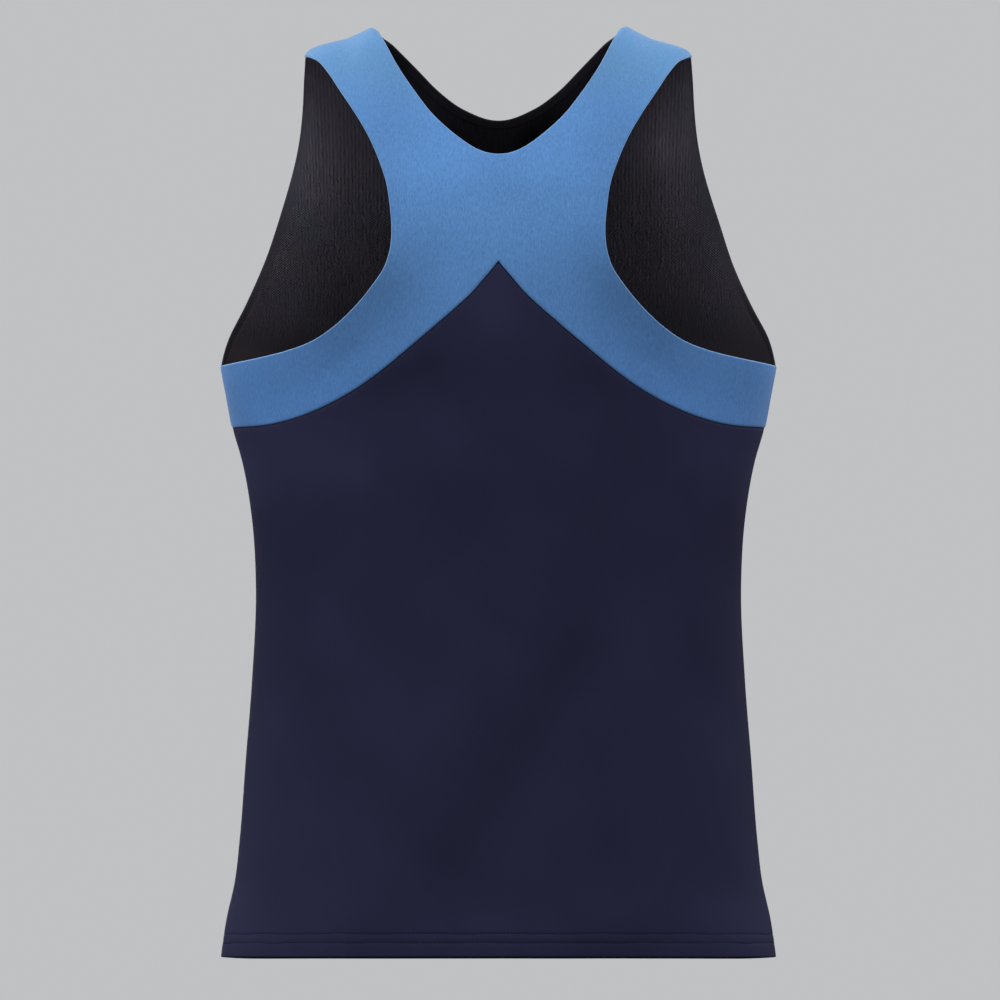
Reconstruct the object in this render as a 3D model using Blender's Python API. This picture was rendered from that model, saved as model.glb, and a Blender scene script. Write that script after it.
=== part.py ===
"""A women's racerback tank top for tennis, filled out as it is when worn.

Metres, +Z up. The front of the top faces -Y and the wearer's left is +X. The
origin lies midway between the two shoulder straps, at the height of the
shoulders that carry them. The top is sewn from three panels of knit cloth: a
front, a back with a peaked top edge, and a racerback yoke, whose two straps go
over the shoulders and whose two bands go round under the arms to the side seams.

Every point of the cloth is read from one smooth figure. Two angles say where:
theta goes round the figure, from the centre line (0) to a side seam (90 degrees),
and turn goes over the shoulder, from its ridge (0) down the back (positive) or
down the front (negative). Past a quarter turn the figure goes straight down.
"""

import math

import bmesh
import bpy
import numpy as np

MM = 0.001
QUARTER = math.pi / 2

# Cloth and seams.
WALL = 1.5 * MM             # the knit, with a little stand-off
YOKE_PROUD = 0.5 * MM       # the doubled yoke stands this far out of the panels
HEM_WALL = 2.6 * MM         # the turned-up hem
SEAM_GAP = 0.3 * MM         # between two panels along a seam
YOKE_SEAM_DROP = 0.5 * MM   # measured straight down, 0.3 mm square to the seam

# The hem lies in one plane, a little higher at the back than at the front.
HEM_AT_SIDE = -590.3 * MM
HEM_SLOPE = 0.049
FRONT_LONGER = 1.0 * MM
# Rows of the hem above its edge; the last one is on the single cloth again.
HEM_ROWS = MM * np.array((0.0, 8.0, 16.0, 18.0))

# Underarm point, where the side seam starts.
UNDERARM = -209.2 * MM

# Horizontal sections of the figure, from below the hem to the shoulders.
#     height  half width  back   front
BODY = MM * np.array((
    (-610.0,     181.0,  123.0,  117.0),
    (-590.0,     179.0,  122.0,  116.0),
    (-566.0,     175.5,  120.0,  114.0),
    (-541.0,     170.0,  117.0,  112.0),
    (-515.0,     167.0,  114.0,  110.5),
    (-463.0,     163.0,  108.0,  108.0),
    (-412.0,     159.0,  102.0,  106.0),
    (-350.0,     156.5,   98.0,  105.0),
    (-308.0,     159.0,   98.5,  108.0),
    (-270.0,     165.5,  101.0,  114.0),
    (-249.0,     171.5,  102.5,  117.5),
    (-228.0,     175.5,  103.5,  120.0),
    (-209.0,     179.0,  104.5,  121.0),
    (-150.0,     180.5,  104.5,  119.0),
    (-70.0,      180.5,  101.0,  110.0),
    (0.0,        180.5,   97.0,  102.0),
    (20.0,       180.5,   97.0,  102.0),
))

# Height of the shoulder ridge, outwards from the centre line.
#        x   height
RIDGE = MM * np.array((
    (0.0,     11.0),
    (35.0,    11.0),
    (60.0,    10.5),
    (80.0,     8.6),
    (86.5,     6.8),
    (92.0,     4.1),
    (97.5,     1.6),
    (107.5,   -1.0),
    (116.5,   -3.5),
    (122.5,   -6.5),
    (125.0,   -9.6),
    (130.0,  -13.5),
    (145.0,  -23.5),
    (181.0,  -45.0),
))

# How far below the ridge the figure has its full depth, and how full its sides are.
BACK_ROUND = 110.0 * MM
FRONT_ROUND = 160.0 * MM
BACK_FULLNESS = 0.10
FRONT_FULLNESS = 0.25

# Shoulder seam, a little forward of the ridge, from the neck to the armhole.
SEAM_TURN = math.radians(-4.0)
NECK_POINT = 77.5 * MM
SHOULDER_TIP = 125.0 * MM

# Edges of the cut, as x and height, on the wearer's left. Each starts at the shoulder
# seam and its rows go on down from there.
YOKE_ARMHOLE = MM * np.array((
    (124.6,  -10.1),
    (122.2,  -10.9),
    (118.4,  -12.4),
    (110.0,  -21.6),
    (103.0,  -32.4),
    (92.5,   -48.4),
    (83.2,   -64.0),
    (76.2,   -79.6),
    (71.6,   -93.0),
    (69.2,  -108.0),
    (68.0,  -125.5),
    (69.0,  -136.5),
    (72.8,  -147.5),
    (80.0,  -158.0),
    (93.0,  -173.6),
    (104.0, -184.0),
    (119.0, -194.3),
    (134.0, -200.0),
    (152.0, -204.3),
    (170.0, -207.7),
    (179.0, -209.2),
))
YOKE_NECK = MM * np.array((
    (76.6,     6.8),
    (72.2,    -2.0),
    (68.2,   -10.0),
    (64.2,   -17.0),
    (57.4,   -27.8),
    (50.4,   -38.4),
    (42.6,   -48.6),
    (33.0,   -57.6),
    (22.0,   -66.7),
    (14.3,   -71.7),
    (7.0,    -74.8),
    (3.0,    -75.6),
    (0.0,    -75.8),
))
YOKE_SEAM = MM * np.array((
    (0.0,   -144.0),
    (8.2,   -153.6),
    (16.8,  -163.7),
    (27.6,  -173.8),
    (39.3,  -183.9),
    (57.4,  -199.2),
    (75.8,  -214.3),
    (90.0,  -224.4),
    (108.1, -234.5),
    (120.0, -239.8),
    (133.3, -244.3),
    (146.0, -247.2),
    (160.0, -248.6),
    (171.5, -249.1),
))
FRONT_ARMHOLE = MM * np.array((
    (125.5,  -13.5),
    (126.4,  -22.0),
    (127.4,  -38.0),
    (129.2,  -56.0),
    (133.0,  -76.0),
    (138.0,  -94.5),
    (145.0, -116.5),
    (153.0, -141.0),
    (161.3, -160.0),
    (168.3, -175.8),
    (173.8, -186.5),
    (177.4, -197.5),
    (179.0, -209.2),
))
FRONT_NECK = MM * np.array((
    (76.3,     8.0),
    (67.0,    -1.0),
    (58.8,    -9.0),
    (50.4,   -17.4),
    (42.0,   -26.0),
    (34.0,   -32.8),
    (26.3,   -38.2),
    (18.6,   -42.0),
    (10.5,   -45.2),
    (4.0,    -46.7),
    (0.0,    -46.9),
))
# Where the yoke's centre piece starts and ends along its armhole edge.
YOKE_WAIST = MM * np.array((-97.0, -138.0))

# Soft folds, each along a line from (x1, z1) to (x2, z2): ridges out, troughs in.
BACK, FRONT = 1, -1
#     side     x1      z1      x2      z2   width  out
FOLDS = (
    (BACK,   -55.0, -370.0,   42.0, -515.0,  24.0, -2.2),
    (BACK,    50.0, -203.0,   18.0, -262.0,  13.0, -1.2),
    (BACK,   -64.0, -208.0,  -36.0, -270.0,  14.0, -1.2),
    (BACK,   120.0, -330.0,   70.0, -420.0,  20.0, -1.6),
    (BACK,  -128.0, -500.0,  -92.0, -575.0,  18.0,  1.6),
    (BACK,   112.0, -520.0,   86.0, -585.0,  18.0,  1.4),
    (FRONT,  116.0,  -40.0,  118.0, -150.0,  10.0, -1.8),
    (FRONT, -114.0,  -46.0, -120.0, -140.0,  10.0, -1.6),
    (FRONT,   58.0, -352.0,  -46.0, -498.0,  24.0, -2.0),
    (FRONT, -124.0, -262.0,  -66.0, -366.0,  20.0, -1.8),
    (FRONT,  130.0, -250.0,   84.0, -318.0,  18.0, -1.6),
    (FRONT,  -96.0, -505.0,  -72.0, -590.0,  18.0,  1.5),
)
FOLD_FADE = math.radians(16.0)   # folds die out this far before a side seam

# Mesh fineness.
FIXED_POINT_ROUNDS = 24
NECK_STATIONS, CENTRE_STATIONS, BAND_STATIONS = 13, 6, 19
YOKE_ACROSS = 7
BACK_ROWS = 14
FRONT_NECK_COLUMNS, FRONT_STRAP_COLUMNS = 8, 7
FRONT_LOWER_ROWS, FRONT_UPPER_ROWS = 15, 13
CURVE_SAMPLES = 400
PROBE = 1e-4

COLOURS = {  # base colour, roughness
    "sky_knit": ((0.095, 0.225, 0.480, 1.0), 0.62),
    "navy_knit": ((0.0145, 0.0155, 0.0370, 1.0), 0.66),
}


def smooth(xs, ys, x):
    """Read a smooth curve through the points (xs, ys) at x."""
    slopes = np.gradient(ys, xs)
    x = np.clip(x, xs[0], xs[-1])
    row = np.clip(np.searchsorted(xs, x, side="right") - 1, 0, len(xs) - 2)
    step = xs[row + 1] - xs[row]
    t = (x - xs[row]) / step
    start = (1 + 2 * t) * (1 - t) ** 2 * ys[row] + t * (1 - t) ** 2 * step * slopes[row]
    end = t * t * (3 - 2 * t) * ys[row + 1] + t * t * (t - 1) * step * slopes[row + 1]
    return start + end


def ease(t):
    """Go smoothly from 0 to 1."""
    t = np.clip(t, 0.0, 1.0)
    return t * t * (3 - 2 * t)


def half_width(z):
    return smooth(BODY[:, 0], BODY[:, 1], z)


def ridge(x):
    return smooth(RIDGE[:, 0], RIDGE[:, 1], np.abs(x))


def skin(theta, turn):
    """Points of the figure at theta and turn."""
    theta, turn = np.broadcast_arrays(np.asarray(theta, float), np.asarray(turn, float))
    back = turn >= 0
    fall = np.abs(turn)
    radius = np.where(back, BACK_ROUND, FRONT_ROUND)
    drop = radius * np.where(fall < QUARTER, 1 - np.cos(fall), 1 + fall - QUARTER)
    bulge = np.where(fall < QUARTER, np.sin(fall), 1.0)
    z = -drop
    for _ in range(FIXED_POINT_ROUNDS):
        x = half_width(z) * np.sin(theta)
        z = ridge(x) - drop
    depth = np.where(back, smooth(BODY[:, 0], BODY[:, 2], z), -smooth(BODY[:, 0], BODY[:, 3], z))
    fullness = np.where(back, BACK_FULLNESS, FRONT_FULLNESS)
    y = depth * np.cos(theta) * (1 + fullness * np.sin(theta) ** 2) * bulge
    return np.stack((x, y, z), axis=-1)


def place(side, x, z):
    """Theta and turn of the figure's point at x and z on the back or the front."""
    theta = np.arcsin(np.clip(x / half_width(z), -1.0, 1.0))
    radius = BACK_ROUND if side == BACK else FRONT_ROUND
    share = np.maximum(ridge(x) - z, 0.0) / radius
    fall = np.where(share < 1, np.arccos(1 - np.minimum(share, 1.0)), QUARTER + share - 1)
    return np.stack((theta, side * fall), axis=-1)


def outward(theta, turn):
    """Unit normals of the figure, pointing away from the wearer."""
    round_it = skin(theta + PROBE, turn) - skin(theta - PROBE, turn)
    over_it = skin(theta, turn + PROBE) - skin(theta, turn - PROBE)
    normal = np.cross(round_it, over_it)
    return normal / np.linalg.norm(normal, axis=-1, keepdims=True)


def drape(theta, turn, points):
    """How far the folds move the cloth out at each point."""
    move = np.zeros(len(points))
    for side, x1, z1, x2, z2, width, out in FOLDS:
        start, end = MM * np.array((x1, z1)), MM * np.array((x2, z2))
        line = end - start
        offset = points[:, (0, 2)] - start
        along = np.clip(offset @ line / (line @ line), 0.0, 1.0)
        away = np.linalg.norm(offset - along[:, None] * line, axis=1)
        height = np.exp(-(away / (width * MM)) ** 2) * (0.35 + 0.65 * np.sin(math.pi * along))
        move += np.where(np.sign(turn) == side, out * MM * height, 0.0)
    return move * ease((QUARTER - np.abs(theta)) / FOLD_FADE)


def resample(places, parts):
    """Points at even distances on a smooth curve through places on the figure."""
    steps = np.linalg.norm(np.diff(skin(places[:, 0], places[:, 1]), axis=0), axis=1)
    run = np.concatenate(([0.0], np.cumsum(steps)))
    fine = np.linspace(0.0, run[-1], CURVE_SAMPLES)
    curve = np.stack([smooth(run, places[:, i], fine) for i in (0, 1)], axis=-1)
    steps = np.linalg.norm(np.diff(skin(curve[:, 0], curve[:, 1]), axis=0), axis=1)
    run = np.concatenate(([0.0], np.cumsum(steps)))
    even = np.linspace(0.0, run[-1], parts + 1)
    return np.stack([np.interp(even, run, curve[:, i]) for i in (0, 1)], axis=-1)


def from_seam(side, x, table):
    """An edge's places on the figure, starting on the shoulder seam at x."""
    seam = (np.arcsin(x / half_width(0.0)), SEAM_TURN)
    return np.vstack((seam, place(side, table[:, 0], table[:, 1])))


def cut_at(places, height):
    """Index of the first place of an edge that lies below a height."""
    return int(np.argmax(skin(places[:, 0], places[:, 1])[:, 2] < height))


def hem_height(side, theta):
    """Height of the hem's plane at the foot of a column."""
    foot = place(side, half_width(HEM_AT_SIDE) * np.sin(theta), np.full_like(theta, HEM_AT_SIDE))
    y = skin(foot[:, 0], foot[:, 1])[:, 1]
    longer = FRONT_LONGER * ease(2.0 * np.cos(theta)) if side == FRONT else 0.0
    return HEM_AT_SIDE + HEM_SLOPE * y - longer


def grid_faces(rows, columns):
    """Quads of a grid whose points are numbered row by row."""
    return [(r * columns + c, r * columns + c + 1, (r + 1) * columns + c + 1, (r + 1) * columns + c)
            for r in range(rows - 1) for c in range(columns - 1)]


def weld(places, faces):
    """Join the points of a sheet that lie on each other."""
    _, first, same = np.unique(np.round(places, 7), axis=0, return_index=True, return_inverse=True)
    same = same.reshape(-1)
    return places[first], [tuple(int(same[i]) for i in face) for face in faces]


def cloth(name, colour, places, faces, shift, inner, proud=0.0):
    """Make a panel: a sheet on the figure, with a wall, closed round its edges."""
    theta, turn = places.T
    base = skin(theta, turn) + np.array((0.0, shift, 0.0))
    normal = outward(theta, turn)
    move = drape(theta, turn, base)
    outside = base + normal * (move + proud)[:, None]
    inside = base + normal * (move - inner)[:, None]

    mesh = bmesh.new()
    outside = [mesh.verts.new(point) for point in outside]
    inside = [mesh.verts.new(point) for point in inside]
    edges = set()
    for face in faces:
        corners = base[list(face)]
        facing = np.cross(corners[2] - corners[0], corners[3] - corners[1]) @ normal[face[0]]
        if facing < 0:
            face = face[::-1]
        mesh.faces.new([outside[i] for i in face])
        mesh.faces.new([inside[i] for i in reversed(face)])
        edges.update(zip(face, face[1:] + face[:1]))
    for a, b in sorted(edges):
        if (b, a) not in edges:
            mesh.faces.new((outside[b], outside[a], inside[a], inside[b]))
    bmesh.ops.recalc_face_normals(mesh, faces=mesh.faces)

    data = bpy.data.meshes.new(name)
    mesh.to_mesh(data)
    mesh.free()
    data.shade_smooth()
    data.set_sharp_from_angle(angle=math.radians(50.0))
    data.materials.append(material(colour))
    panel = bpy.data.objects.new(name, data)
    bpy.context.scene.collection.objects.link(panel)
    return panel


def material(name):
    made = bpy.data.materials.get(name)
    if made is None:
        made = bpy.data.materials.new(name)
        made.use_nodes = True
        colour, roughness = COLOURS[name]
        shader = made.node_tree.nodes["Principled BSDF"]
        shader.inputs["Base Color"].default_value = colour
        shader.inputs["Roughness"].default_value = roughness
        shader.inputs["Metallic"].default_value = 0.0
    return made


def yoke_edges():
    """The yoke's two edges on the wearer's left, with as many points on each."""
    armhole = resample(from_seam(BACK, SHOULDER_TIP, YOKE_ARMHOLE), CURVE_SAMPLES)
    neck = from_seam(BACK, NECK_POINT, YOKE_NECK)
    seam = place(BACK, YOKE_SEAM[:, 0], YOKE_SEAM[:, 1])
    seam[-1, 0] = armhole[-1, 0] = QUARTER
    centre = np.array((neck[-1], seam[0]))
    upper, lower = (cut_at(armhole, height) for height in YOKE_WAIST)
    outer, inner = [], []
    pieces = (
        (armhole[:upper + 1], neck, NECK_STATIONS),
        (armhole[upper:lower + 1], centre, CENTRE_STATIONS),
        (armhole[lower:], seam, BAND_STATIONS),
    )
    for number, (outside, inside, stations) in enumerate(pieces):
        skip = 1 if number else 0
        outer.append(resample(outside, stations)[skip:])
        inner.append(resample(inside, stations)[skip:])
    return np.vstack(outer), np.vstack(inner)


def back_yoke():
    """Two straps, the centre piece and two bands, as one doubled piece."""
    outer, inner = yoke_edges()
    share = np.linspace(0.0, 1.0, YOKE_ACROSS + 1)[None, :, None]
    left = (1 - share) * outer[:, None] + share * inner[:, None]
    right = left * np.array((-1.0, 1.0))
    rows, columns = left.shape[:2]
    faces = grid_faces(rows, columns)
    mirrored = [tuple(i + rows * columns for i in face) for face in faces]
    places = np.vstack((left.reshape(-1, 2), right.reshape(-1, 2)))
    places, faces = weld(places, faces + mirrored)
    return cloth("back_yoke", "sky_knit", places, faces, SEAM_GAP / 2, WALL, YOKE_PROUD)


def down_to_hem(side, theta, top, rows):
    """Rows of a panel from its hem up to a top height for each column."""
    foot = hem_height(side, theta)
    start = foot + HEM_ROWS[-1]
    share = np.linspace(0.0, 1.0, rows + 1)[1:, None]
    heights = np.vstack((foot + HEM_ROWS[:, None], start + share * (top - start)))
    around = np.broadcast_to(theta, heights.shape)
    return place(side, half_width(heights) * np.sin(around), heights)


def hem_wall(rows, columns):
    """Wall of each point: doubled in the hem, single above it."""
    wall = np.full((rows, columns), WALL)
    wall[:len(HEM_ROWS) - 1] = HEM_WALL
    return wall.reshape(-1)


def back_panel():
    """The back below the yoke, with its columns at the yoke seam's own points."""
    _, inner = yoke_edges()
    seam = inner[NECK_STATIONS + CENTRE_STATIONS:]
    height = skin(seam[:, 0], seam[:, 1])[:, 2] - YOKE_SEAM_DROP
    theta = np.concatenate((-seam[:0:-1, 0], seam[:, 0]))
    top = np.concatenate((height[:0:-1], height))
    grid = down_to_hem(BACK, theta, top, BACK_ROWS)
    grid[:, (0, -1), 0] = (-QUARTER, QUARTER)
    rows, columns = grid.shape[:2]
    faces = grid_faces(rows, columns)
    wall = hem_wall(rows, columns)
    return cloth("back_panel", "navy_knit", grid.reshape(-1, 2), faces, SEAM_GAP / 2, wall)


def front_panel():
    """The front, from the hem to the neckline and the shoulder seams."""
    tip = np.arcsin(SHOULDER_TIP / half_width(0.0))
    corner = np.arcsin(NECK_POINT / half_width(0.0)) / tip
    neck_share = np.linspace(0.0, corner, FRONT_NECK_COLUMNS + 1)
    strap_share = np.linspace(corner, 1.0, FRONT_STRAP_COLUMNS + 1)[1:]
    share = np.concatenate((neck_share, strap_share))
    share = np.concatenate((-share[:0:-1], share))

    lower = down_to_hem(FRONT, share * QUARTER, np.full_like(share, UNDERARM), FRONT_LOWER_ROWS)
    lower[:, (0, -1), 0] = (-QUARTER, QUARTER)

    armhole = resample(from_seam(FRONT, SHOULDER_TIP, FRONT_ARMHOLE)[::-1], FRONT_UPPER_ROWS)
    neck = resample(from_seam(FRONT, NECK_POINT, FRONT_NECK)[::-1], CURVE_SAMPLES)
    top_theta = share * tip
    on_neck = np.abs(share) < corner
    top_turn = np.where(on_neck, np.interp(np.abs(top_theta), neck[:, 0], neck[:, 1]), SEAM_TURN)
    side_turn = armhole[:, 1]
    climbed = (side_turn - side_turn[0]) / (side_turn[-1] - side_turn[0])
    bottom_turn = lower[-1, :, 1]
    turn = bottom_turn + climbed[1:, None] * (top_turn - bottom_turn)
    theta = share * armhole[1:, 0, None]
    upper = np.stack((theta, turn), axis=-1)

    grid = np.vstack((lower, upper))
    rows, columns = grid.shape[:2]
    faces = grid_faces(rows, columns)
    wall = hem_wall(rows, columns)
    return cloth("front_panel", "navy_knit", grid.reshape(-1, 2), faces, -SEAM_GAP / 2, wall)


def clear_scene():
    for item in list(bpy.data.objects):
        bpy.data.objects.remove(item, do_unlink=True)


def main():
    clear_scene()
    front_panel()
    back_panel()
    back_yoke()


main()
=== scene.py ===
"""The looks of a women's racerback tank top for tennis, filled out as it is when worn.

Metres, +Z up. The front of the top faces -Y and the wearer's left is +X. Each of the
frame's three solid panels is replaced by a fine shell of the same cut on the same
figure: cloth with turned edges, sunk seams and a turned-up hem. The sewing lies on
those shells: two rows of hem stitches with the looping thread behind them, and the
overlocked seam allowances on the inside.

Every point of the cloth is read from one smooth figure. Two angles say where: theta
goes round the figure, from the centre line (0) to a side seam (90 degrees), and turn
goes over the shoulder, from its ridge (0) down the back (positive) or down the front
(negative). Past a quarter turn the figure goes straight down.
"""

import math

import bmesh
import bpy
import numpy as np
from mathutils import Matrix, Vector, geometry, kdtree


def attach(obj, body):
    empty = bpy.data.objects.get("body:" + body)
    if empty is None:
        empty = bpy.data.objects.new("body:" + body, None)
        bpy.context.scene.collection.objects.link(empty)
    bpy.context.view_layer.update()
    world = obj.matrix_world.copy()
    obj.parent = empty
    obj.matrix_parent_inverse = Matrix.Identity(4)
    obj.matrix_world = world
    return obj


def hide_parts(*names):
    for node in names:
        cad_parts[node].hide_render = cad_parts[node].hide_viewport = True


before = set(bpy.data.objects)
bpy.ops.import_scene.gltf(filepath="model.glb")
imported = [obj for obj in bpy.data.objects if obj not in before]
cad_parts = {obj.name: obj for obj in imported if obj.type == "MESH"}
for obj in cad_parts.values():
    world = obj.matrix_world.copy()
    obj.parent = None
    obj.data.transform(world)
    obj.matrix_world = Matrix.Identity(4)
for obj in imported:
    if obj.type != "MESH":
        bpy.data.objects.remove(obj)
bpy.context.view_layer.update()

MM = 0.001
QUARTER = math.pi / 2
BACK, FRONT = 1, -1

# The figure is that of the frame's solids, and the cut is theirs to about a millimetre.
HEM_AT_SIDE = -590.3 * MM
HEM_SLOPE = 0.049
FRONT_LONGER = 1.0 * MM
UNDERARM = -209.2 * MM
YOKE_SEAM_DROP = 0.5 * MM

# Horizontal sections of the figure, from below the hem to the shoulders.
#     height  half width  back   front
BODY = MM * np.array((
    (-610.0,     181.0,  123.0,  117.0),
    (-590.0,     179.0,  122.0,  116.0),
    (-566.0,     175.5,  120.0,  114.0),
    (-541.0,     170.0,  117.0,  112.0),
    (-515.0,     167.0,  114.0,  110.5),
    (-463.0,     163.0,  108.0,  108.0),
    (-412.0,     159.0,  102.0,  106.0),
    (-350.0,     156.5,   98.0,  105.0),
    (-308.0,     159.0,   98.5,  108.0),
    (-270.0,     165.5,  101.0,  114.0),
    (-249.0,     171.5,  102.5,  117.5),
    (-228.0,     175.5,  103.5,  120.0),
    (-209.0,     179.0,  104.5,  121.0),
    (-150.0,     180.5,  104.5,  119.0),
    (-70.0,      180.5,  101.0,  110.0),
    (0.0,        180.5,   97.0,  102.0),
    (20.0,       180.5,   97.0,  102.0),
))

# Height of the shoulder ridge, outwards from the centre line.
#        x   height
RIDGE = MM * np.array((
    (0.0,     11.0),
    (35.0,    11.0),
    (60.0,    10.5),
    (80.0,     8.6),
    (86.5,     6.8),
    (92.0,     4.1),
    (97.5,     1.6),
    (107.5,   -1.0),
    (116.5,   -3.5),
    (122.5,   -6.5),
    (125.0,   -9.6),
    (130.0,  -13.5),
    (145.0,  -23.5),
    (181.0,  -45.0),
))

# How far below the ridge the figure has its full depth, and how full its sides are.
BACK_ROUND = 110.0 * MM
FRONT_ROUND = 160.0 * MM
BACK_FULLNESS = 0.10
FRONT_FULLNESS = 0.25

# Shoulder seam, a little forward of the ridge, from the neck to the armhole.
SEAM_TURN = math.radians(-4.0)
NECK_POINT = 77.5 * MM
SHOULDER_TIP = 125.0 * MM

# Edges of the cut, as x and height, on the wearer's left.
YOKE_ARMHOLE = MM * np.array((
    (124.6,  -10.1),
    (122.2,  -10.9),
    (118.0,  -12.4),
    (109.5,  -21.6),
    (102.5,  -32.4),
    (92.0,   -48.4),
    (82.9,   -64.0),
    (76.1,   -79.6),
    (71.6,   -93.0),
    (69.2,  -108.0),
    (68.0,  -125.5),
    (69.0,  -136.5),
    (72.5,  -147.5),
    (79.4,  -158.0),
    (92.4,  -173.6),
    (103.4, -184.0),
    (118.5, -194.3),
    (134.0, -200.0),
    (152.0, -204.3),
    (170.0, -207.7),
    (179.0, -209.2),
))
YOKE_NECK = MM * np.array((
    (76.6,     6.8),
    (72.5,    -2.0),
    (68.6,   -10.0),
    (64.9,   -17.0),
    (58.2,   -27.8),
    (50.9,   -38.4),
    (43.2,   -48.6),
    (34.2,   -57.6),
    (23.0,   -66.7),
    (15.4,   -71.7),
    (7.8,    -74.8),
    (3.3,    -75.6),
    (0.0,    -75.8),
))
YOKE_SEAM = MM * np.array((
    (0.0,   -144.0),
    (8.2,   -153.6),
    (16.8,  -163.7),
    (27.6,  -173.8),
    (39.3,  -183.9),
    (57.4,  -199.2),
    (75.8,  -214.3),
    (90.0,  -224.4),
    (108.1, -234.5),
    (120.0, -239.8),
    (133.3, -244.3),
    (146.0, -247.2),
    (160.0, -248.6),
    (171.5, -249.1),
))
FRONT_ARMHOLE = MM * np.array((
    (125.5,  -13.5),
    (126.4,  -22.0),
    (127.4,  -38.0),
    (129.2,  -56.0),
    (133.0,  -76.0),
    (138.0,  -94.5),
    (145.0, -116.5),
    (153.0, -141.0),
    (161.3, -160.0),
    (168.3, -175.8),
    (173.8, -186.5),
    (177.4, -197.5),
    (179.0, -209.2),
))
FRONT_NECK = MM * np.array((
    (76.3,     8.0),
    (67.0,    -1.0),
    (58.8,    -9.0),
    (50.4,   -17.4),
    (42.0,   -26.0),
    (34.0,   -32.8),
    (26.3,   -38.2),
    (18.6,   -42.0),
    (10.5,   -45.2),
    (4.0,    -46.7),
    (0.0,    -46.9),
))

# Soft folds, each along a line from (x1, z1) to (x2, z2): ridges out, troughs in. The last
# fourteen are finer ones, which only the shells have.
#   side      x1    z1    x2    z2  width  out
FOLDS = (
    (BACK,   -55, -370,   42, -515, 24, -2.2),
    (BACK,    50, -203,   18, -262, 13, -1.2),
    (BACK,   -64, -208,  -36, -270, 14, -1.2),
    (BACK,   120, -330,   70, -420, 20, -1.6),
    (BACK,  -128, -500,  -92, -575, 18,  1.6),
    (BACK,   112, -520,   86, -585, 18,  1.4),
    (FRONT,  116,  -40,  118, -150, 10, -1.8),
    (FRONT, -114,  -46, -120, -140, 10, -1.6),
    (FRONT,   58, -352,  -46, -498, 24,   -2),
    (FRONT, -124, -262,  -66, -366, 20, -1.8),
    (FRONT,  130, -250,   84, -318, 18, -1.6),
    (FRONT,  -96, -505,  -72, -590, 18,  1.5),
    (BACK,    96, -262,   60, -300,  8, -0.5),
    (BACK,  -104, -266,  -76, -312,  9, -0.5),
    (BACK,    28, -560,   20, -588,  9, -0.6),
    (BACK,   -40, -548,  -48, -588,  8, -0.5),
    (BACK,    58,  -60,   66, -128,  7, -0.4),
    (BACK,   -58,  -70,  -64, -132,  7, -0.4),
    (BACK,    84, -196,  118, -222,  7, -0.5),
    (BACK,   -88, -200, -124, -226,  7, -0.4),
    (FRONT,  148, -214,  112, -262,  8, -0.7),
    (FRONT, -150, -218, -108, -258,  8, -0.6),
    (FRONT,   84,  -20,   92,  -92,  8, -0.6),
    (FRONT,  -86,  -24,  -96,  -88,  8, -0.5),
    (FRONT,   40, -552,   48, -589,  9, -0.6),
    (FRONT,  -30, -560,  -22, -590,  8, -0.5),
)
FOLD_FADE = math.radians(16.0)      # how far from the side seams the folds fade out
FOLD_ENDS = 0.35                    # height of a fold at its ends, as a share

# The straps' corners at the neck, where the edge curls in and the cloth beside it stands proud.
#     x    z   across along  out
NECK_CURL = (
    (76.4, 8.8,  2.6,  9.0, -3.0),
    (82.3, 8.0,  2.6,  9.0,  0.95),
)
NECK_SLOPE = math.radians(60.0)     # how steeply the neck edge leaves the shoulder

# Painted light and shade: soft lighter and darker places in the colour of a piece's outer or
# inner face, along lines as the folds are, where light falls on the folds and the figure's
# rounding, with painted shade in the front's inside near the neck.
OUTER, INNER = 0, 1
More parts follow.
